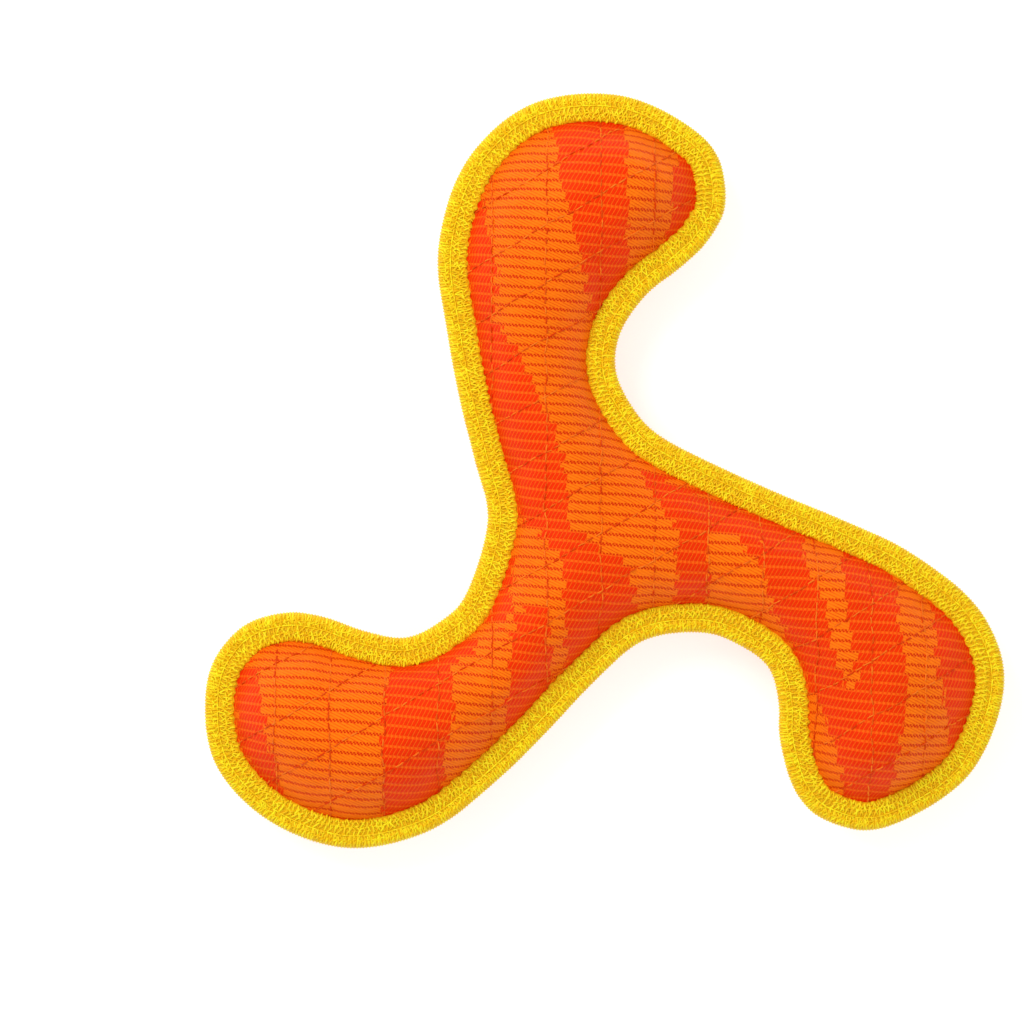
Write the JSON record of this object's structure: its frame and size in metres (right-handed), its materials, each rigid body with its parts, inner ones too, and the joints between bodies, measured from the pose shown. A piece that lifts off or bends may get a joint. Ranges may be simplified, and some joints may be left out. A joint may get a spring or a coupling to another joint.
{
  "type": "soft boomerang",
  "caption": "Stuffed three-armed throw-and-tug boomerang with hooked, bulbous arms, quilted woven covers, a taped edge and a squeaker in each bulb.",
  "frame": {"origin": "middle of the toy's box at its base, where it lies on its back cover", "axes": "+Z out of the front cover, +Y along the top arm, +X towards the right arm"},
  "size_m": [0.292, 0.2758, 0.044],
  "materials": {
    "cover_weave": "matte",
    "lining": "matte",
    "binding_tape": "satin",
    "sewing_thread": "satin",
    "stuffing": "matte",
    "pouch_cloth": "matte",
    "bladder_plastic": "satin",
    "plug_plastic": "satin",
    "reed_film": "gloss",
    "cap_plastic": "satin"
  },
  "bodies": {
    "toy": {"front_cover": "cover_weave", "back_cover": "cover_weave", "front_lining": "lining", "back_lining": "lining", "edge_binding": "binding_tape", "front_stitch_row": "sewing_thread", "back_stitch_row": "sewing_thread", "hub_stuffing": "stuffing", "top_stuffing": "stuffing", "left_stuffing": "stuffing", "right_stuffing": "stuffing", "top_pouch": "pouch_cloth", "top_bladder": "bladder_plastic", "left_pouch": "pouch_cloth", "left_bladder": "bladder_plastic", "right_pouch": "pouch_cloth", "right_bladder": "bladder_plastic"},
    "top_squeaker": {"top_plug": "plug_plastic", "top_reed": "reed_film", "top_cap": "cap_plastic"},
    "left_squeaker": {"left_plug": "plug_plastic", "left_reed": "reed_film", "left_cap": "cap_plastic"},
    "right_squeaker": {"right_plug": "plug_plastic", "right_reed": "reed_film", "right_cap": "cap_plastic"}
  },
  "joints": [
    {"name": "top_squeaker_press", "type": "slide", "parent": "toy", "child": "top_squeaker", "axis": [0, 0, -1], "range_m": [0, 0.005], "stiffness_N_per_m": 400, "deforming": ["top_bladder"]},
    {"name": "left_squeaker_press", "type": "slide", "parent": "toy", "child": "left_squeaker", "axis": [0, 0, -1], "range_m": [0, 0.005], "stiffness_N_per_m": 400, "deforming": ["left_bladder"]},
    {"name": "right_squeaker_press", "type": "slide", "parent": "toy", "child": "right_squeaker", "axis": [0, 0, -1], "range_m": [0, 0.005], "stiffness_N_per_m": 400, "deforming": ["right_bladder"]}
  ]
}
